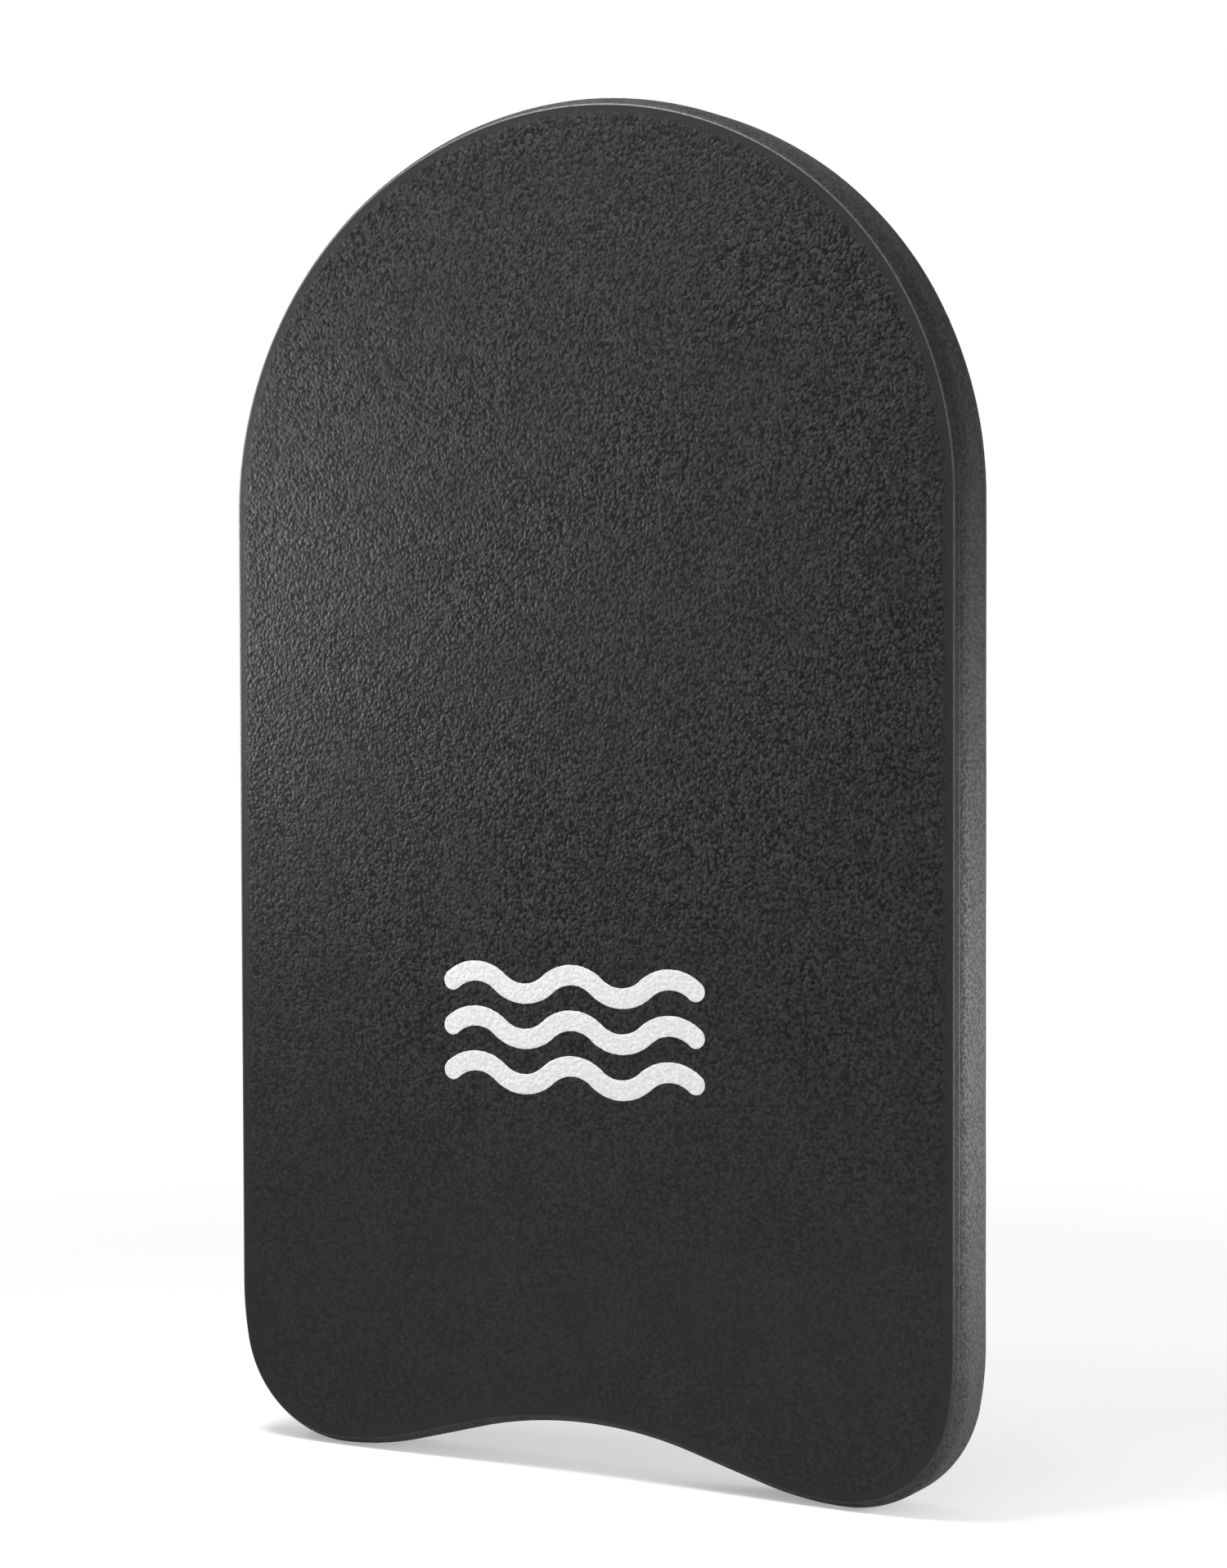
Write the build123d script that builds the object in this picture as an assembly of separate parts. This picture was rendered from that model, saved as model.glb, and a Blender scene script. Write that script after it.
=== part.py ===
from build123d import *
import math
import os

# A swimming kickboard: a foam core between two embossed foam skins, with three printed waves.
# It stands on its two tail lobes. X runs across the board, Z from the tail to the nose, and the
# printed face looks along -Y. The origin is midway between the lobes on the surface under them.
# The board is drawn lying flat, face up, and stood up at the end. Millimetres.

# The whole board
LENGTH = 472.0
WIDTH = 286.0
THICKNESS = 25.0
SKIN_THICKNESS = 2.0
RIM_RADIUS = 1.2  # the rounded rim of each face

# The side wall has a flat land along its middle and curves in towards both faces.
WALL_LAND = 10.0
WALL_CROWN = 3.0  # how far the land stands out past the edges of the faces

# The nose is three tangent arcs: one across the top and a shoulder on each side.
NOSE_RISE = 138.5  # from the end of the straight sides to the tip
NOSE_RADIUS = 148.0

# Each side ends in a tail lobe, and a hollow joins the two lobes.
LOBE_LEAD_RADIUS = 119.0
LOBE_LEAD_ANGLE = 10.4
LOBE_CORNER_RADIUS = 42.2
LOBE_INNER_RADIUS = 114.0
FLANK_ANGLE = 15.5  # slope of the straight flank between a lobe and the hollow
HOLLOW_RADIUS = 160.0

# The printed mark: wave bands of white ink, each a row of half waves with round ends.
WAVE_NAMES = ("printed_wave_upper", "printed_wave_middle", "printed_wave_lower")
INK_THICKNESS = 0.08
HALF_WAVES = 5
HALF_WAVE_LENGTH = 19.2
WAVE_RISE = 3.6
BAND_WIDTH = 7.0
BAND_PITCH = 15.7
MARK_CENTRE = (-2.0, 153.6)  # across from the centre line, and up from the lobes' ends

# Working allowance, cut away again
SPARE = 1.0


def nose_arcs():
    """The right half of the nose, from the tip down to the straight side."""
    half = WIDTH / 2
    drop = NOSE_RADIUS - NOSE_RISE
    shoulder_radius = (NOSE_RADIUS**2 - half**2 - drop**2) / (2 * (NOSE_RADIUS - half))
    joint_angle = math.degrees(math.atan2(drop, half - shoulder_radius))
    top = CenterArc((0, LENGTH - NOSE_RADIUS), NOSE_RADIUS, 90, joint_angle - 90)
    shoulder_centre = (half - shoulder_radius, LENGTH - NOSE_RISE)
    shoulder = CenterArc(shoulder_centre, shoulder_radius, joint_angle, -joint_angle)
    return [top, shoulder]


def tail_edges():
    """The right half of the tail, from the straight side to the middle of the hollow."""
    lead_turn = math.radians(LOBE_LEAD_ANGLE)
    slope = math.radians(FLANK_ANGLE)
    step = LOBE_LEAD_RADIUS - LOBE_CORNER_RADIUS
    lead_x = WIDTH / 2 - LOBE_LEAD_RADIUS
    lobe_x = lead_x + step * math.cos(lead_turn)
    lead_centre = (lead_x, LOBE_CORNER_RADIUS + step * math.sin(lead_turn))
    lead = CenterArc(lead_centre, LOBE_LEAD_RADIUS, 0, -LOBE_LEAD_ANGLE)
    corner_centre = (lobe_x, LOBE_CORNER_RADIUS)
    corner = CenterArc(corner_centre, LOBE_CORNER_RADIUS, -LOBE_LEAD_ANGLE, LOBE_LEAD_ANGLE - 90)
    inner = CenterArc((lobe_x, LOBE_INNER_RADIUS), LOBE_INNER_RADIUS, -90, -FLANK_ANGLE)
    flank_start = inner @ 1
    flank_end_x = HOLLOW_RADIUS * math.sin(slope)
    flank_end_y = flank_start.Y + (flank_start.X - flank_end_x) * math.tan(slope)
    flank = Line(flank_start, (flank_end_x, flank_end_y))
    hollow_centre = (0, flank_end_y - HOLLOW_RADIUS * math.cos(slope))
    hollow = CenterArc(hollow_centre, HOLLOW_RADIUS, 90 - FLANK_ANGLE, FLANK_ANGLE)
    return [lead, corner, inner, flank, hollow]


def outline():
    """The board's widest outline as one closed wire, with the lobes touching y = 0."""
    nose = nose_arcs()
    tail = tail_edges()
    side = Line(nose[-1] @ 1, tail[0] @ 0)
    right = Curve() + nose + side + tail
    both = right + mirror(right, about=Plane.YZ)
    return Wire(both.edges())


def wall_section():
    """What the crowned side wall leaves outside it, in a frame with x outward and y up."""
    half = THICKNESS / 2
    land_top = (0, WALL_LAND / 2)
    land_bottom = (0, -WALL_LAND / 2)
    rim_top = (-WALL_CROWN, half)
    rim_bottom = (-WALL_CROWN, -half)
    upper = TangentArc(land_top, rim_top, tangent=(0, 1))
    lower = TangentArc(land_bottom, rim_bottom, tangent=(0, -1))
    outer = 2 * SPARE
    rest = Polyline(rim_top, (-WALL_CROWN, half + SPARE), (outer, half + SPARE),
                    (outer, -half - SPARE), (-WALL_CROWN, -half - SPARE), rim_bottom)
    return make_face(Curve() + [upper, Line(land_top, land_bottom), lower, rest])


def board():
    """The whole foam board in one piece, before it is cut into core and skins."""
    path = outline()
    across_wall = Plane(origin=nose_arcs()[-1] @ 1, x_dir=(1, 0, 0), z_dir=(0, -1, 0))
    cutter = sweep(across_wall * wall_section(), path=path)
    blank = Pos(0, 0, -THICKNESS / 2) * extrude(make_face(offset(path, SPARE)), THICKNESS)
    body = blank - cutter
    flat_faces = body.faces().filter_by(Axis.Z)
    rims = [edge for face in flat_faces for edge in face.outer_wire().edges()]
    return fillet(rims, RIM_RADIUS)


def layer(body, bottom, top):
    """The part of the board between two heights."""
    slab = Pos(0, LENGTH / 2, (bottom + top) / 2) * Box(WIDTH, LENGTH, top - bottom)
    return body & slab


def wave_band(row):
    """One band of ink: half waves that bow up and down in turn. Row 0 is nearest the nose."""
    radius = (HALF_WAVE_LENGTH**2 / 4 + WAVE_RISE**2) / (2 * WAVE_RISE)
    half_turn = math.degrees(math.asin(HALF_WAVE_LENGTH / 2 / radius))
    y = (1 - row) * BAND_PITCH
    band = Sketch()
    for k in range(HALF_WAVES):
        x = (k - (HALF_WAVES - 1) / 2) * HALF_WAVE_LENGTH
        bow = 1 if k % 2 == 0 else -1
        centre = (x, y - bow * (radius - WAVE_RISE))
        arc = CenterArc(centre, radius, bow * 90 - half_turn, 2 * half_turn)
        band += SlotArc(arc, BAND_WIDTH)
    return extrude(Pos(*MARK_CENTRE, THICKNESS / 2) * band, INK_THICKNESS)


def write(name, shape):
    """Stand the piece up, face towards -Y, and save it."""
    standing = Plane.XZ * shape
    standing.label = name
    export_step(standing, f"parts/{name}.step")


def main():
    os.makedirs("parts", exist_ok=True)
    body = board()
    half = THICKNESS / 2
    joint = half - SKIN_THICKNESS
    write("back_skin", layer(body, -half, -joint))
    write("core_slab", layer(body, -joint, joint))
    write("front_skin", layer(body, joint, half))
    for row, name in enumerate(WAVE_NAMES):
        write(name, wave_band(row))


main()
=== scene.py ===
import math

import bmesh
import bpy
import numpy as np
from mathutils import Matrix, Vector, noise


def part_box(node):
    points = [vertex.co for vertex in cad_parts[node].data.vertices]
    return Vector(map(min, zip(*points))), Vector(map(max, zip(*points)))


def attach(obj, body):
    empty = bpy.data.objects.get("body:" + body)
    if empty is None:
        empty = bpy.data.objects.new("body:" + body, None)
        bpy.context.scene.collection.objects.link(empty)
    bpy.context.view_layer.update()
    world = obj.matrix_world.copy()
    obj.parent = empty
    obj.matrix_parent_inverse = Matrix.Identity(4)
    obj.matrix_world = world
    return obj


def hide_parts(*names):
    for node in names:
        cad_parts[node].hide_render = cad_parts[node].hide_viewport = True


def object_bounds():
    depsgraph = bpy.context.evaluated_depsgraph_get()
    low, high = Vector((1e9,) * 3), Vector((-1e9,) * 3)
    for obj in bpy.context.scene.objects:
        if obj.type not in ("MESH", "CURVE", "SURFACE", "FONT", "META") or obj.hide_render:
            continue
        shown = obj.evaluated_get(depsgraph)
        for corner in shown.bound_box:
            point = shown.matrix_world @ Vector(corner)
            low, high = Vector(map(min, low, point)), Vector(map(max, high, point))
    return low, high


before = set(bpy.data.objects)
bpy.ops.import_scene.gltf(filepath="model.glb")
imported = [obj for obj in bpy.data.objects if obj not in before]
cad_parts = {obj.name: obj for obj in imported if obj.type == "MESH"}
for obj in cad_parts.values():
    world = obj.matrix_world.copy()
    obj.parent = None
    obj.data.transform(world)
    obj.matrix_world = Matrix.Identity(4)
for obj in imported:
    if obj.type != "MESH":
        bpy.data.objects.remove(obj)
START_LOW, START_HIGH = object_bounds()
MM = 0.001


# --- camera: the photograph's viewing angle ---------------------------------------------------

CAMERA_AZIMUTH = 29.27  # degrees round from straight in front of the printed face
CAMERA_ELEVATION = 1.99
CAMERA_ROLL = -0.18
CAMERA_DISTANCE = 1.1626
AIM_RIGHT = 0.00669  # how far right of and above the board's middle the camera aims
AIM_UP = 0.00215
LENS = 77.35
SENSOR = 36.0


def make_camera():
    """A level camera a little to the right of the board, as in the photograph."""
    az, el, roll = (math.radians(v) for v in (CAMERA_AZIMUTH, CAMERA_ELEVATION, CAMERA_ROLL))
    towards = Vector((math.sin(az) * math.cos(el), -math.cos(az) * math.cos(el), math.sin(el)))
    forward = -towards
    right = forward.cross(Vector((0, 0, 1))).normalized()
    up = right.cross(forward)
    rolled_right = math.cos(roll) * right + math.sin(roll) * up
    rolled_up = -math.sin(roll) * right + math.cos(roll) * up
    middle = (START_LOW + START_HIGH) / 2
    place = middle + towards * CAMERA_DISTANCE + rolled_right * AIM_RIGHT + rolled_up * AIM_UP
    data = bpy.data.cameras.new("camera")
    data.lens = LENS
    data.sensor_width = SENSOR
    data.clip_start = 0.01
    data.clip_end = 50
    camera = bpy.data.objects.new("camera", data)
    turn = Matrix((rolled_right, rolled_up, towards)).transposed()
    camera.matrix_world = Matrix.Translation(place) @ turn.to_4x4()
    bpy.context.scene.collection.objects.link(camera)
    bpy.context.scene.camera = camera


make_camera()


# --- the board's shape ------------------------------------------------------------------------

CORE_LOW, CORE_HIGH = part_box("core_slab")
FRONT_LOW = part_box("front_skin")[0]
BACK_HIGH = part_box("back_skin")[1]
HALF_WIDTH = (CORE_HIGH[0] - CORE_LOW[0]) / 2
LENGTH = CORE_HIGH[2] - CORE_LOW[2]
HALF_THICKNESS = (BACK_HIGH[1] - FRONT_LOW[1]) / 2
JOINT = (CORE_HIGH[1] - CORE_LOW[1]) / 2  # from the middle of the board to each glued joint

NOSE_RISE = 138.5 * MM
NOSE_RADIUS = 148.0 * MM
LEAD_RADIUS = 119.0 * MM
LEAD_TURN = math.radians(10.4)
CORNER_RADIUS = 42.2 * MM
INNER_RADIUS = 114.0 * MM
FLANK_SLOPE = math.radians(15.5)
HOLLOW_RADIUS = 160.0 * MM

HALF_LAND = 5.0 * MM
CROWN = 3.0 * MM
RIM_RADIUS = 1.2 * MM
GROOVE = 0.02 * MM  # how far the glued joint is pressed in

QUARTER = math.pi / 2

MERGE = 1e-6  # metres; points this close are one point
SKIN_STEP = 1.6 * MM  # spacing of points round the skins
WALL_STEP = 0.8 * MM  # and round the core's wall
WALL_RINGS = 30
RIM_STEPS = 7
EDGE_STEPS = 5
FACE_STEPS = 62
BAND_INSETS = tuple(v * MM for v in (3.9, 4.5, 5.2, 6.0, 7.0, 8.2))
SEAM_GAP = 0.05 * MM  # keeps the skins' hidden sides off the core's
LIP = 0.25 * MM  # half the width of the groove at the glued joint
SPINE_LOW = 62 * MM  # the lowest point of the centre line that the faces' rows run to
HIDDEN_STEPS = (0.5, 1.0)  # the hidden sides need few rings

# the gentle unevenness of the faces and of the cut wall
WAVE_HOLD = 14 * MM  # the faces are flat at the rim and reach their full unevenness this far in
WIDE_WAVE = 60 * MM
WIDE_RISE = 0.10 * MM
CLOSE_WAVE = 14 * MM
CLOSE_RISE = 0.03 * MM
CUT_WAVE = 30 * MM
CUT_RISE = 0.10 * MM
PORE_WAVE = 2.2 * MM
PORE_RISE = 0.03 * MM
WIDE_SEED, CLOSE_SEED, CUT_SEED, PORE_SEED, RAGGED_SEED = 3.0, 7.0, 11.0, 5.0, 2.0


def arc(centre, radius, start, end, step, facing=1):
    """Points along an arc with their outward normals, the last point left out."""
    count = max(2, math.ceil(radius * abs(end - start) / step))
    turn = start + (end - start) * np.arange(count) / count
    normal = np.stack([np.cos(turn), np.sin(turn)], 1)
    return np.hstack([np.array(centre) + radius * normal, facing * normal])


def straight(start, end, step):
    """Points along a line walked with the board on its right-hand side."""
    start, end = np.array(start), np.array(end)
    along = end - start
    length = np.linalg.norm(along)
    count = max(2, math.ceil(length / step))
    normal = np.array([-along[1], along[0]]) / length
    places = start + np.outer(np.arange(count) / count, along)
    return np.hstack([places, np.tile(normal, (count, 1))])


def outline(step):
    """The widest outline, clockwise from the tip of the nose: x, z and the outward normal."""
    drop = NOSE_RADIUS - NOSE_RISE
    shoulder = (NOSE_RADIUS**2 - HALF_WIDTH**2 - drop**2) / (2 * (NOSE_RADIUS - HALF_WIDTH))
    joint = math.atan2(drop, HALF_WIDTH - shoulder)
    side_top = LENGTH - NOSE_RISE
    reach = LEAD_RADIUS - CORNER_RADIUS
    lead_x = HALF_WIDTH - LEAD_RADIUS
    lead_z = CORNER_RADIUS + reach * math.sin(LEAD_TURN)
    lobe_x = lead_x + reach * math.cos(LEAD_TURN)
    flank_x = lobe_x - INNER_RADIUS * math.sin(FLANK_SLOPE)
    flank_z = INNER_RADIUS * (1 - math.cos(FLANK_SLOPE))
    hollow_x = HOLLOW_RADIUS * math.sin(FLANK_SLOPE)
    hollow_z = flank_z + (flank_x - hollow_x) * math.tan(FLANK_SLOPE)
    hollow_centre = (0.0, hollow_z - HOLLOW_RADIUS * math.cos(FLANK_SLOPE))
    right = np.vstack([
        arc((0.0, LENGTH - NOSE_RADIUS), NOSE_RADIUS, QUARTER, joint, step),
        arc((HALF_WIDTH - shoulder, side_top), shoulder, joint, 0.0, step),
        straight((HALF_WIDTH, side_top), (HALF_WIDTH, lead_z), step),
        arc((lead_x, lead_z), LEAD_RADIUS, 0.0, -LEAD_TURN, step),
        arc((lobe_x, CORNER_RADIUS), CORNER_RADIUS, -LEAD_TURN, -QUARTER, step),
        arc((lobe_x, INNER_RADIUS), INNER_RADIUS, -QUARTER, -QUARTER - FLANK_SLOPE, step),
        straight((flank_x, flank_z), (hollow_x, hollow_z), step),
        arc(hollow_centre, HOLLOW_RADIUS, QUARTER - FLANK_SLOPE, QUARTER, step, facing=-1),
    ])
    middle = np.array([[0.0, hollow_centre[1] + HOLLOW_RADIUS, 0.0, -1.0]])
    left = right[:0:-1] * np.array([-1, 1, -1, 1])
    return np.vstack([right, middle, left])


def wall_inset(depth):
    """How far the side wall has pulled in at this distance from the board's middle plane."""
    run = HALF_THICKNESS - HALF_LAND
    radius = (run**2 + CROWN**2) / (2 * CROWN)
    over = np.maximum(np.abs(depth) - HALF_LAND, 0)
    return radius - np.sqrt(radius**2 - over**2)


def rim_section(count):
    """The rounded rim from the side wall to the face: insets and depths."""
    run = HALF_THICKNESS - HALF_LAND
    radius = (run**2 + CROWN**2) / (2 * CROWN)
    centre_depth = HALF_THICKNESS - RIM_RADIUS
    reach = radius - RIM_RADIUS
    start = math.asin((centre_depth - HALF_LAND) / reach)
    centre_inset = radius - reach * math.cos(start)
    turn = np.linspace(start, QUARTER, count)
    return centre_inset - RIM_RADIUS * np.cos(turn), centre_depth + RIM_RADIUS * np.sin(turn)


def ring(path, inset, y):
    """The outline drawn in by inset, at this y."""
    places = path[:, :2] - path[:, 2:] * inset
    return np.stack([places[:, 0], np.full(len(path), y), places[:, 1]], 1)


def spine(path):
    """The point of the centre line that each outline point's row runs to."""
    z = np.clip(path[:, 1], SPINE_LOW, LENGTH - NOSE_RISE)
    return np.stack([np.zeros(len(path)), z], 1)


def mesh_object(name, points, faces, material):
    data = bpy.data.meshes.new(name)
    data.from_pydata(points, [], faces)
    data.validate()
    data.materials.append(material)
    data.shade_smooth()
    made = bpy.data.objects.new(name, data)
    bpy.context.scene.collection.objects.link(made)
    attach(made, "root")
    return made


def strip_faces(rings, around):
    """Quads between rings of points, each ring closed on itself."""
    i = np.arange(rings - 1)[:, None] * around
    j = np.arange(around)[None, :]
    k = (j + 1) % around
    return np.stack([i + j, i + k, i + around + k, i + around + j], -1).reshape(-1, 4)


def closed_piece(name, rings, marks, material):
    """A closed mesh from rings that run from one spine, round the rim, to the other spine.

    marks holds named numbers, one for each ring, that the material reads.
    """
    around = len(rings[0])
    points = np.vstack(rings)
    quads = strip_faces(len(rings), around)
    made = mesh_object(name, points.tolist(), quads.tolist(), material)
    data = made.data
    for key, values in marks.items():
        mark = data.attributes.new(key, "FLOAT", "POINT")
        mark.data.foreach_set("value", np.repeat(values, around).astype(np.float32))
    tidy(made)
    return made


def tidy(made):
    """Join the points that coincide and turn every face outwards."""
    shape = bmesh.new()
    shape.from_mesh(made.data)
    bmesh.ops.remove_doubles(shape, verts=shape.verts, dist=MERGE)
    bmesh.ops.dissolve_degenerate(shape, edges=shape.edges, dist=MERGE)
    bmesh.ops.recalc_face_normals(shape, faces=shape.faces)
    shape.to_mesh(made.data)
    shape.free()
    made.data.shade_smooth()


def swell(places, scale, seed):
    """Smooth noise between about -1 and 1 at each place; scale is its size in metres."""
    shift = Vector((seed, -seed, 2 * seed))
    return np.array([noise.noise(Vector(p) / scale + shift) for p in places])


def rows_to_spine(path, inset, depth, sign, steps):
    """Rings across a face from its rim to the spine, the rim's own ring left out."""
    edge = ring(path, inset, 0.0)[:, [0, 2]]
    middle = spine(path)
    rings = []
    for t in steps:
        flat = edge + (middle - edge) * t
        rings.append(np.stack([flat[:, 0], np.full(len(path), sign * depth), flat[:, 1]], 1))
    return rings


def skin(name, sign, material):
    """One embossed foam skin. sign is -1 for the printed face and 1 for the back."""
    path = outline(SKIN_STEP)
    joint_depth = JOINT + SEAM_GAP
    hidden = rows_to_spine(path, wall_inset(joint_depth) + GROOVE, joint_depth, sign, HIDDEN_STEPS)
    rings = hidden[::-1]
    reach = [0.0, 0.0]
    rim_inset, rim_depth = rim_section(RIM_STEPS)
    for depth in np.linspace(joint_depth, rim_depth[0], EDGE_STEPS)[:-1]:
        lip = GROOVE * math.exp(-(((depth - joint_depth) / LIP) ** 2))
        rings.append(ring(path, wall_inset(depth) + lip, sign * depth))
        reach.append(0.0)
    first_rim = len(rings)
    for inset, depth in zip(rim_inset, rim_depth):
        rings.append(ring(path, inset, sign * depth))
        reach.append(0.0)
    first_face = len(rings) - RIM_STEPS // 3
    last = rim_inset[-1]
    for inset in BAND_INSETS:
        rings.append(ring(path, inset, sign * HALF_THICKNESS))
        reach.append(inset - last)
    steps = (np.arange(FACE_STEPS) + 1) / FACE_STEPS
    rings += rows_to_spine(path, BAND_INSETS[-1], HALF_THICKNESS, sign, steps)
    reach += list(BAND_INSETS[-1] - last + steps * (HALF_WIDTH - BAND_INSETS[-1]))
    reach = np.array(reach)
    for k, far in enumerate(reach):
        if far > 0:
            rings[k][:, 1] += sign * face_rise(rings[k], far)
    number = np.arange(len(rings))
    marks = {"rim": reach / MM, "face": number >= first_face,
             "arris": (number > first_rim) & (number < first_rim + RIM_STEPS)}
    return closed_piece(name, rings, marks, material)


def face_rise(places, far):
    """How far the face stands out of its plane at these places, this far from the rim."""
    hold = min(1.0, far / WAVE_HOLD)
    flat = np.stack([places[:, 0], np.zeros(len(places)), places[:, 2]], 1)
    wide = swell(flat, WIDE_WAVE, WIDE_SEED)
    close = swell(flat, CLOSE_WAVE, CLOSE_SEED)
    return hold * (WIDE_RISE * wide + CLOSE_RISE * close)


def core(material):
    """The thick foam core: two hidden flat sides and the bulged wall, slightly uneven."""
    path = outline(WALL_STEP)
    depths = np.linspace(-JOINT, JOINT, WALL_RINGS)
    depths = np.concatenate([[-JOINT], depths[:1] + LIP / 2, depths[1:-1],
                             depths[-1:] - LIP / 2, [JOINT]])
    inset = wall_inset(JOINT) + GROOVE
    rings = rows_to_spine(path, inset, JOINT, -1, HIDDEN_STEPS)[::-1]
    for depth in depths:
        near = min(JOINT - depth, depth + JOINT)
        lip = GROOVE * math.exp(-((near / LIP) ** 2))
        loop = ring(path, wall_inset(depth) + lip, depth)
        uneven = CUT_RISE * swell(loop, CUT_WAVE, CUT_SEED)
        uneven += PORE_RISE * swell(loop, PORE_WAVE, PORE_SEED)
        uneven *= min(1.0, near / LIP)
        loop[:, 0] += path[:, 2] * uneven
        loop[:, 2] += path[:, 3] * uneven
        rings.append(loop)
    rings += rows_to_spine(path, inset, JOINT, 1, HIDDEN_STEPS)
    return closed_piece("foam_core", rings, {}, material)


# --- the printed waves ------------------------------------------------------------------------

HALF_WAVES = 5
HALF_WAVE_LENGTH = 19.2 * MM
WAVE_RISE = 3.6 * MM
INK_LOW, INK_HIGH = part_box("printed_wave_middle")
INK_CENTRE = (INK_LOW + INK_HIGH) / 2
BAND_RADIUS = (INK_HIGH[2] - INK_LOW[2]) / 2 - WAVE_RISE
BAND_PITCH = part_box("printed_wave_upper")[0][2] - INK_LOW[2]
INK_STEP = 0.5 * MM
INK_COLUMNS = 15
INK_FILM = 0.05 * MM  # how far the ink stands off the foam
INK_ROOT = 0.04 * MM  # and how far it reaches in
INK_SQUARE = 8  # how suddenly the film's edge drops: a higher power is squarer
CAP_STEPS = 12
RAGGED = 0.10 * MM  # how far the edge of the print wanders
RAGGED_SIZE = 1.3 * MM


def wave_arcs(row):
    """The middle line of one printed band: arcs that bow up and down in turn."""
    radius = (HALF_WAVE_LENGTH**2 / 4 + WAVE_RISE**2) / (2 * WAVE_RISE)
    half_turn = math.asin(HALF_WAVE_LENGTH / 2 / radius)
    base_z = INK_CENTRE[2] + (1 - row) * BAND_PITCH
    arcs = []
    for k in range(HALF_WAVES):
        bow = 1 if k % 2 == 0 else -1
        middle_x = INK_CENTRE[0] + (k - (HALF_WAVES - 1) / 2) * HALF_WAVE_LENGTH
        centre = (middle_x, base_z - bow * (radius - WAVE_RISE))
        start = bow * (QUARTER + half_turn)
        end = bow * (QUARTER - half_turn)
        arcs.append(arc(centre, radius, start, end, INK_STEP, facing=bow))
    line = np.vstack(arcs)
    x, z, normal_x, normal_z = line[0]
    return np.vstack([line, (2 * INK_CENTRE[0] - x, z, -normal_x, normal_z)])


def round_end(end, way):
    """Points that run on past one end of the line, and how far each is past it."""
    along = way * np.array([end[3], -end[2]])
    run = BAND_RADIUS * np.sin(np.linspace(0, QUARTER, CAP_STEPS)[1:])
    cap = np.hstack([end[:2] + np.outer(run, along), np.tile(end[2:], (len(run), 1))])
    return cap, run


def wave_line(row):
    """The middle line with its round ends, and half the band's width at each point."""
    line = wave_arcs(row)
    first, first_run = round_end(line[0], -1)
    final, final_run = round_end(line[-1], 1)
    beyond = np.concatenate([first_run[::-1], np.zeros(len(line)), final_run])
    half = np.sqrt(np.maximum(BAND_RADIUS**2 - beyond**2, 0))
    return np.vstack([first[::-1], line, final]), half


def wave(name, row, material):
    """One band of ink: a thin closed film that lies on the uneven face."""
    line, half = wave_line(row)
    across = np.sin(np.linspace(-QUARTER, QUARTER, INK_COLUMNS))
    loops = []
    for place, reach in zip(line, half):
        spots = np.stack([place[:2] + place[2:] * reach * v for v in across])
        flat = np.stack([spots[:, 0], np.zeros(len(spots)), spots[:, 1]], 1)
        ragged = RAGGED * swell(flat, RAGGED_SIZE, RAGGED_SEED) * across
        flat[:, 0] += place[2] * ragged
        flat[:, 2] += place[3] * ragged
        face = HALF_THICKNESS + face_rise(flat, WAVE_HOLD)
        film = INK_FILM * (1 - across**INK_SQUARE)
        top = flat - np.outer(face + film, (0, 1, 0))
        under = flat - np.outer(face - INK_ROOT, (0, 1, 0))
        loops.append(np.vstack([top, under[::-1]]))
    points = np.vstack(loops)
    quads = strip_faces(len(loops), len(loops[0]))
    made = mesh_object(name, points.tolist(), quads.tolist(), material)
    tidy(made)
    return made


# --- materials --------------------------------------------------------------------------------

def socket(node, key, side="inputs"):
    """A mix node's socket of this name that is in use: it has one for each kind of data."""
    found = [s for s in getattr(node, side) if s.name == key and s.enabled]
    return found[0]


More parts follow.
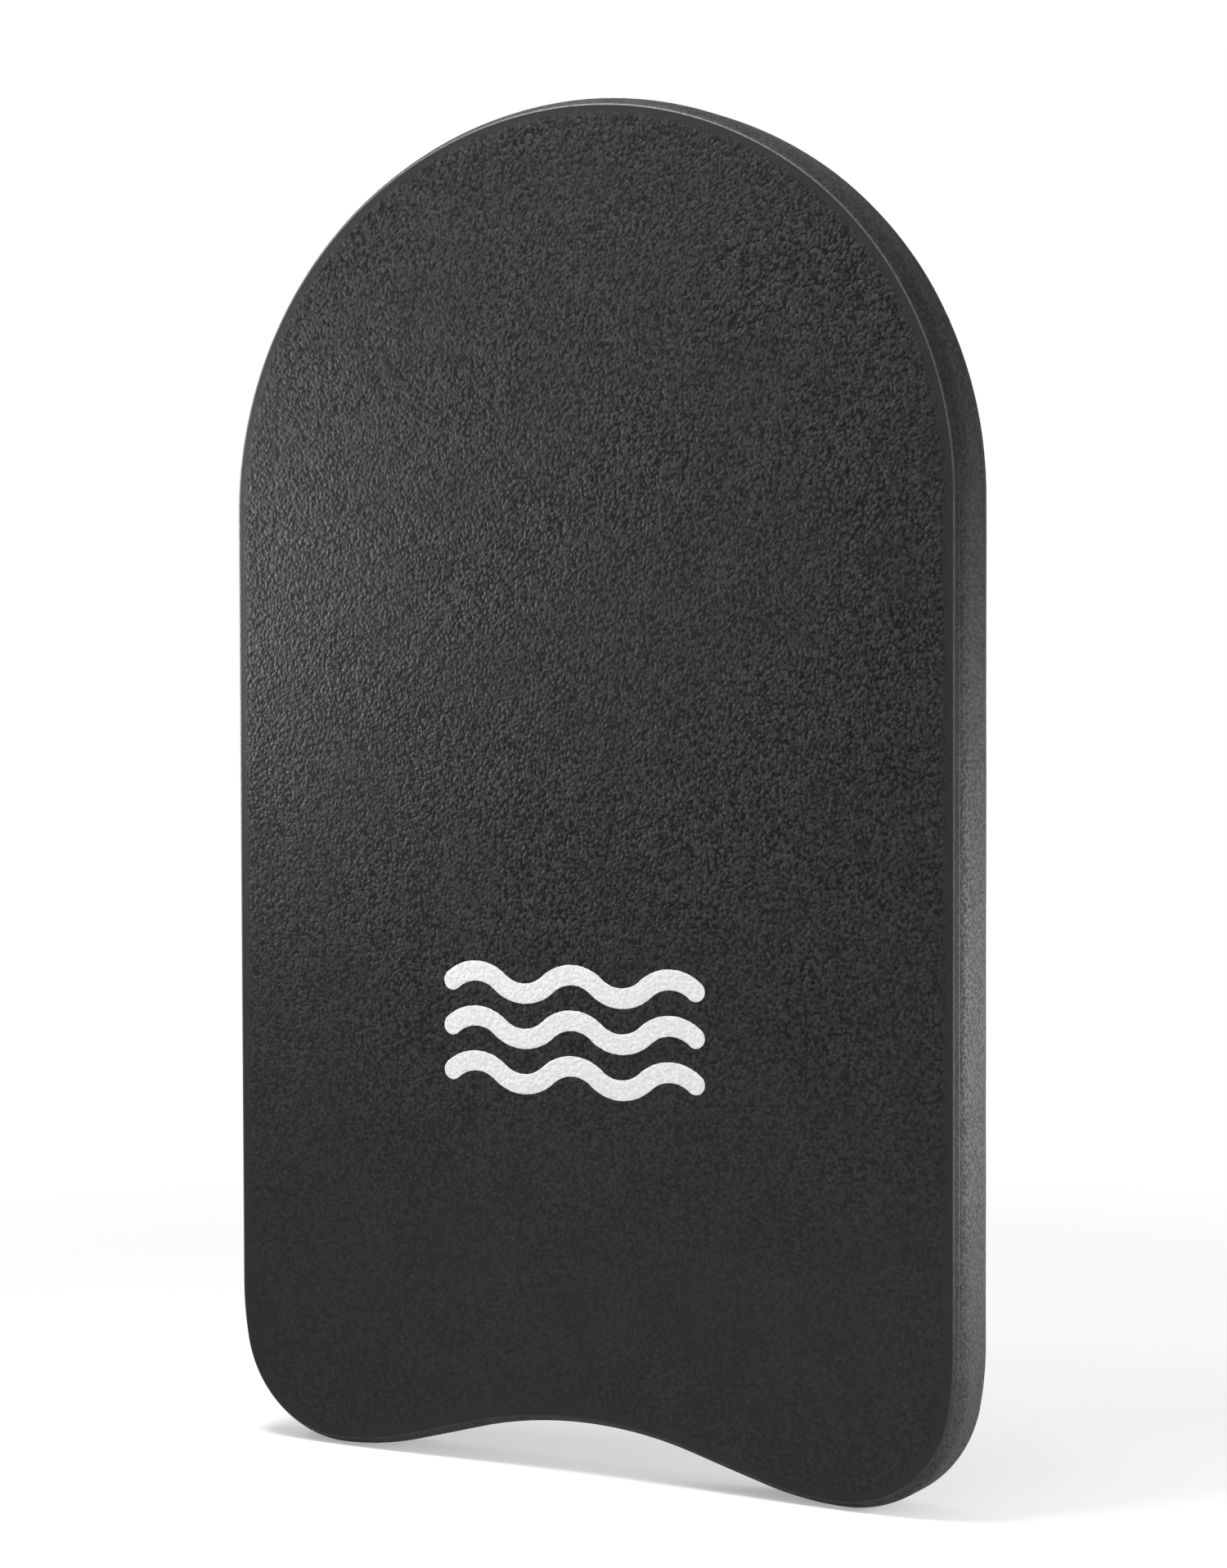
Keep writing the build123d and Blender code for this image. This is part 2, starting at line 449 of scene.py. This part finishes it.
class Nodes:
    """A material's node tree, with one short call for each node."""

    def __init__(self, name):
        self.material = bpy.data.materials.new(name)
        self.material.use_nodes = True
        self.tree = self.material.node_tree
        self.shader = self.tree.nodes["Principled BSDF"]
        self.place = self.add("ShaderNodeTexCoord").outputs["Object"]

    @classmethod
    def of(cls, tree):
        """The same short calls for a tree that isn't a material's."""
        made = cls.__new__(cls)
        made.tree = tree
        return made

    def add(self, kind, **settings):
        node = self.tree.nodes.new(kind)
        for key, value in settings.items():
            setattr(node, key, value)
        return node

    def link(self, source, target):
        if isinstance(source, (int, float)):
            target.default_value = source
        else:
            self.tree.links.new(source, target)

    def math(self, operation, a, b=0.0, c=0.0):
        node = self.add("ShaderNodeMath", operation=operation)
        for value, target in zip((a, b, c), node.inputs):
            self.link(value, target)
        return node.outputs[0]

    def blend(self, first, second):
        """The sum of two values, each times its weight."""
        (a, a_weight), (b, b_weight) = first, second
        return self.math("ADD", self.math("MULTIPLY", a, a_weight),
                         self.math("MULTIPLY", b, b_weight))

    def mark(self, key):
        """The named number that the mesh holds at each point."""
        return self.add("ShaderNodeAttribute", attribute_name=key).outputs["Fac"]

    def spread(self, value, low, high, out_low=0.0, out_high=1.0):
        """value taken from low..high to out_low..out_high with a smooth step."""
        node = self.add("ShaderNodeMapRange", interpolation_type="SMOOTHSTEP")
        for source, target in zip((value, low, high, out_low, out_high), node.inputs):
            self.link(source, target)
        return node.outputs[0]

    def noise(self, size, detail=2.0, rough=0.5, place=None):
        """Noise whose lumps are about size metres across."""
        node = self.add("ShaderNodeTexNoise")
        self.link(place or self.place, node.inputs["Vector"])
        node.inputs["Scale"].default_value = 1 / size
        node.inputs["Detail"].default_value = detail
        node.inputs["Roughness"].default_value = rough
        return node.outputs["Fac"]

    def wander(self, size, amount):
        """The place, pushed about by noise."""
        node = self.add("ShaderNodeTexNoise")
        self.link(self.place, node.inputs["Vector"])
        node.inputs["Scale"].default_value = 1 / size
        node.inputs["Detail"].default_value = 1.0
        centre = self.add("ShaderNodeVectorMath", operation="SUBTRACT")
        self.link(node.outputs["Color"], centre.inputs[0])
        centre.inputs[1].default_value = (0.5, 0.5, 0.5)
        scale = self.add("ShaderNodeVectorMath", operation="SCALE")
        self.link(centre.outputs[0], scale.inputs[0])
        scale.inputs["Scale"].default_value = amount
        moved = self.add("ShaderNodeVectorMath", operation="ADD")
        self.link(self.place, moved.inputs[0])
        self.link(scale.outputs[0], moved.inputs[1])
        return moved.outputs[0]

    def cells(self, size, place, smooth):
        """Distance to the nearest of scattered points about size metres apart, smoothed."""
        node = self.add("ShaderNodeTexVoronoi", feature="SMOOTH_F1")
        self.link(place, node.inputs["Vector"])
        node.inputs["Scale"].default_value = 1 / size
        node.inputs["Smoothness"].default_value = smooth
        return node.outputs["Distance"]

    def colour(self, factor, low, high):
        """A mix of two greys or colours."""
        node = self.add("ShaderNodeMix", data_type="RGBA")
        self.link(factor, node.inputs["Factor"])
        socket(node, "A").default_value = (*low, 1.0)
        socket(node, "B").default_value = (*high, 1.0)
        return socket(node, "Result", "outputs")

    def mix(self, factor, a, b):
        node = self.add("ShaderNodeMix", data_type="RGBA")
        for value, key in zip((factor, a, b), ("Factor", "A", "B")):
            self.link(value, socket(node, key))
        return socket(node, "Result", "outputs")

    def bump(self, height, depth, under=None):
        """Bump from a height of 0 to 1 that is depth metres deep."""
        node = self.add("ShaderNodeBump")
        node.inputs["Strength"].default_value = 1.0
        node.inputs["Distance"].default_value = depth
        self.link(height, node.inputs["Height"])
        if under is not None:
            self.link(under, node.inputs["Normal"])
        return node.outputs["Normal"]

    def finish(self, colour, rough, normal):
        self.link(colour, self.shader.inputs["Base Color"])
        self.link(rough, self.shader.inputs["Roughness"])
        self.link(normal, self.shader.inputs["Normal"])
        return self.material


# linear colours, dark and light, that each surface runs between
# the pressed face's colours run from painted shade in the grain's creases to a painted highlight
# on its tops
PRESSED_CREASE_SHADE, PRESSED_TOP_HIGHLIGHT = (0.003, 0.003, 0.0031), (0.040, 0.040, 0.0404)
CUT_DARK, CUT_LIGHT = (0.010, 0.010, 0.0101), (0.044, 0.044, 0.0444)
# the rounded rim's colours are a painted highlight
RIM_HIGHLIGHT_DARK, RIM_HIGHLIGHT_LIGHT = (0.05, 0.05, 0.0505), (0.13, 0.13, 0.1313)
INK_DARK, INK_LIGHT = (0.60, 0.60, 0.595), (0.74, 0.74, 0.735)

# how deep each relief is
GRAIN_DEPTH = 0.30 * MM
MOTTLE_DEPTH = 0.08 * MM
CELL_DEPTH = 0.04 * MM
PRINT_GRAIN_DEPTH = 0.12 * MM
PRINT_SPECK_DEPTH = 0.03 * MM

# how big the features are
GRAIN_WANDER = 4.0 * MM
GRAIN_PUSH = 1.0 * MM
LUMP_SIZE = 1.08 * MM
PEBBLE_SIZE = 1.75 * MM
MOTTLE_SIZE = 1.2 * MM
CLOUD_SIZE = 8 * MM
CELL_SIZE = 0.6 * MM
SPECK_SIZE = 0.7 * MM

FOAM_SPECULAR = 0.12  # black foam hardly shines


def grain(n):
    """The embossed grain as a height from 0 to 1: rounded pebbles that run into short worms."""
    place = n.wander(GRAIN_WANDER, GRAIN_PUSH)
    lumps = n.spread(n.noise(LUMP_SIZE, 0.0, place=place), 0.26, 0.74)
    pebble = n.spread(n.cells(PEBBLE_SIZE, place, 0.25), 0.08, 0.70, 1.0, 0.0)
    return n.blend((lumps, 0.6), (pebble, 0.4))


def cut_mottle(n):
    """The close mottle of foam that is cut and buffed: a height from 0 to 1 and its colour."""
    mottle = n.spread(n.noise(MOTTLE_SIZE, 1.5), 0.30, 0.70)
    tone = n.blend((mottle, 0.5), (n.noise(CLOUD_SIZE), 0.5))
    return mottle, n.colour(tone, CUT_DARK, CUT_LIGHT)


def skin_foam():
    """Embossed black foam skin: grain on the face with painted highlight and shade on its relief,
    a smooth rim with a painted highlight and a buffed cut edge.
    """
    n = Nodes("embossed_black_foam")
    rim, face, arris = (n.mark(key) for key in ("rim", "face", "arris"))
    up = n.add("ShaderNodeSeparateXYZ")
    n.link(n.place, up.inputs[0])
    height_above_floor = up.outputs["Z"]
    # the grain is fainter towards the tail and near the rim, and uneven from place to place
    fainter_to_tail = n.spread(height_above_floor, 0.06, 0.20, 0.35, 1.0)
    patch = n.spread(n.noise(40 * MM), 0.35, 0.65, 0.75, 1.0)
    fade = n.math("MULTIPLY", n.spread(rim, 0.8, 4.5), n.math("MULTIPLY", fainter_to_tail, patch))
    height = n.math("MULTIPLY", grain(n), fade)
    # the rounded rim gets a painted highlight: its colour is lighter, less so at the tail, and it
    # is a little less rough
    rim_highlight_and_gloss = n.math("MULTIPLY", arris, n.spread(height_above_floor, 0.02, 0.11, 0.15, 1.0))
    mottle, cut = cut_mottle(n)
    fine = n.bump(n.math("MULTIPLY", mottle, n.math("SUBTRACT", 1.0, face)), MOTTLE_DEPTH)
    normal = n.bump(height, GRAIN_DEPTH, fine)
    # the face's colour follows the grain's height: painted highlight on the pebble tops and
    # painted shade in the creases, plus a slow random drift in tone
    relief_shade_and_highlight = n.math("SUBTRACT", height, n.math("MULTIPLY", fade, 0.5))
    drift = n.spread(n.noise(20 * MM), 0.3, 0.7, 0.47, 0.53)
    tone = n.math("ADD", n.math("MULTIPLY", relief_shade_and_highlight, 1.1), drift)
    pressed_with_painted_relief_light = n.colour(tone, PRESSED_CREASE_SHADE, PRESSED_TOP_HIGHLIGHT)
    # a painted highlight along the rounded rim, mottled by noise
    painted_rim_highlight = n.colour(n.noise(3 * MM, 3.0), RIM_HIGHLIGHT_DARK, RIM_HIGHLIGHT_LIGHT)
    colour = n.mix(face, n.mix(rim_highlight_and_gloss, cut, painted_rim_highlight), pressed_with_painted_relief_light)
    shine = n.math("ADD", n.math("MULTIPLY", height, 0.6), n.noise(6 * MM))
    rough = n.spread(shine, 0.3, 1.2, 0.62, 0.50)
    rough = n.math("SUBTRACT", rough, n.math("MULTIPLY", rim_highlight_and_gloss, 0.2))
    n.shader.inputs["Specular IOR Level"].default_value = FOAM_SPECULAR
    return n.finish(colour, rough, normal)


def cut_foam():
    """The buffed wall of the foam core: a close mottle of fine cells."""
    n = Nodes("buffed_black_foam")
    mottle, colour = cut_mottle(n)
    normal = n.bump(n.cells(CELL_SIZE, n.place, 0.4), CELL_DEPTH)
    normal = n.bump(mottle, MOTTLE_DEPTH, normal)
    rough = n.spread(mottle, 0.3, 0.7, 0.72, 0.56)
    n.shader.inputs["Specular IOR Level"].default_value = FOAM_SPECULAR
    return n.finish(colour, rough, normal)


def white_ink():
    """Screen-printed ink that sits on the grain, a little thin in its hollows."""
    n = Nodes("white_print_ink")
    height = grain(n)
    speck = n.noise(SPECK_SIZE, 3.0, 0.7)
    normal = n.bump(speck, PRINT_SPECK_DEPTH)
    normal = n.bump(height, PRINT_GRAIN_DEPTH, normal)
    tone = n.spread(n.blend((height, 0.3), (speck, 0.9)), 0.35, 0.80)
    rough = n.spread(speck, 0.3, 0.7, 0.7, 0.5)
    return n.finish(n.colour(tone, INK_DARK, INK_LIGHT), rough, normal)


SKIN = skin_foam()
CUT = cut_foam()
INK = white_ink()

front = skin("front_skin_embossed", -1, SKIN)
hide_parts("front_skin")
back = skin("back_skin_embossed", 1, SKIN)
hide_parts("back_skin")
middle = core(CUT)
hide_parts("core_slab")
WAVES = ("printed_wave_upper", "printed_wave_middle", "printed_wave_lower")
for row, wave_name in enumerate(WAVES):
    band = wave(wave_name + "_ink", row, INK)
    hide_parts(wave_name)


# --- floor, light and finish ------------------------------------------------------------------

WHITE = 1.0  # how bright the background looks
ROOM = 0.58  # how bright the room is as a light
PALE = 0.86  # how pale the floor is
FLOOR_RADIUS = 30.0  # metres
FADE_FROM, FADE_TO = 0.2, 0.75  # metres from the board over which the floor turns into the glow
FADE_NEAR = 0.35  # how much of the glow is in the floor right by the board


def glow(n, target):
    """Set a strength that looks white to the camera and lights the board less."""
    seen = n.add("ShaderNodeLightPath").outputs["Is Camera Ray"]
    n.link(n.spread(seen, 0.0, 1.0, ROOM, WHITE), target)


def floor():
    """A pale floor that fades into the background far from the board."""
    data = bpy.data.meshes.new("floor")
    shape = bmesh.new()
    bmesh.ops.create_circle(shape, cap_ends=True, radius=FLOOR_RADIUS, segments=96)
    shape.to_mesh(data)
    shape.free()
    made = bpy.data.objects.new("floor", data)
    bpy.context.scene.collection.objects.link(made)
    n = Nodes("pale_floor")
    length = n.add("ShaderNodeVectorMath", operation="LENGTH")
    n.link(n.place, length.inputs[0])
    far = n.spread(length.outputs["Value"], FADE_FROM, FADE_TO, FADE_NEAR, 1.0)
    surround = n.add("ShaderNodeEmission")
    glow(n, surround.inputs["Strength"])
    n.shader.inputs["Base Color"].default_value = (PALE, PALE, PALE, 1.0)
    n.shader.inputs["Roughness"].default_value = 0.9
    n.shader.inputs["Specular IOR Level"].default_value = 0.0
    mix = n.add("ShaderNodeMixShader")
    n.link(far, mix.inputs[0])
    n.link(n.shader.outputs[0], mix.inputs[1])
    n.link(surround.outputs[0], mix.inputs[2])
    n.link(mix.outputs[0], n.tree.nodes["Material Output"].inputs["Surface"])
    data.materials.append(n.material)


def lamp(name, place, aim, size, watts, spread=180):
    """A soft rectangular lamp that the camera doesn't see; spread is in degrees."""
    data = bpy.data.lights.new(name, "AREA")
    data.shape = "RECTANGLE"
    data.size, data.size_y = size
    data.energy = watts
    data.spread = math.radians(spread)
    made = bpy.data.objects.new(name, data)
    made.location = place
    made.rotation_mode = "QUATERNION"
    made.rotation_quaternion = (Vector(aim) - Vector(place)).to_track_quat("-Z", "Y")
    made.visible_camera = False
    bpy.context.scene.collection.objects.link(made)


def light_room():
    """A white studio, with one low light on the left, two low ones on the right, one on top."""
    world = bpy.data.worlds.new("studio")
    world.use_nodes = True
    sky = world.node_tree.nodes["Background"]
    sky.inputs["Color"].default_value = (1.0, 1.0, 1.0, 1.0)
    glow(Nodes.of(world.node_tree), sky.inputs["Strength"])
    bpy.context.scene.world = world
    bpy.context.scene.view_settings.view_transform = "Standard"
    lamp("left_near", (-0.35, -0.085, 0.32), (-0.05, -0.0125, 0.30), (0.10, 0.16), 0.70, 110)
    lamp("right_low", (0.46, 0.25, 0.14), (0.14, 0.0, 0.14), (0.16, 0.12), 0.58, 70)
    lamp("right_front", (0.80, -0.12, 0.12), (0.14, 0.0, 0.12), (0.20, 0.16), 0.26, 50)
    lamp("top", (-0.16, -0.17, 0.86), (-0.02, 0, 0.4), (0.35, 0.20), 6.4)


floor()
light_room()
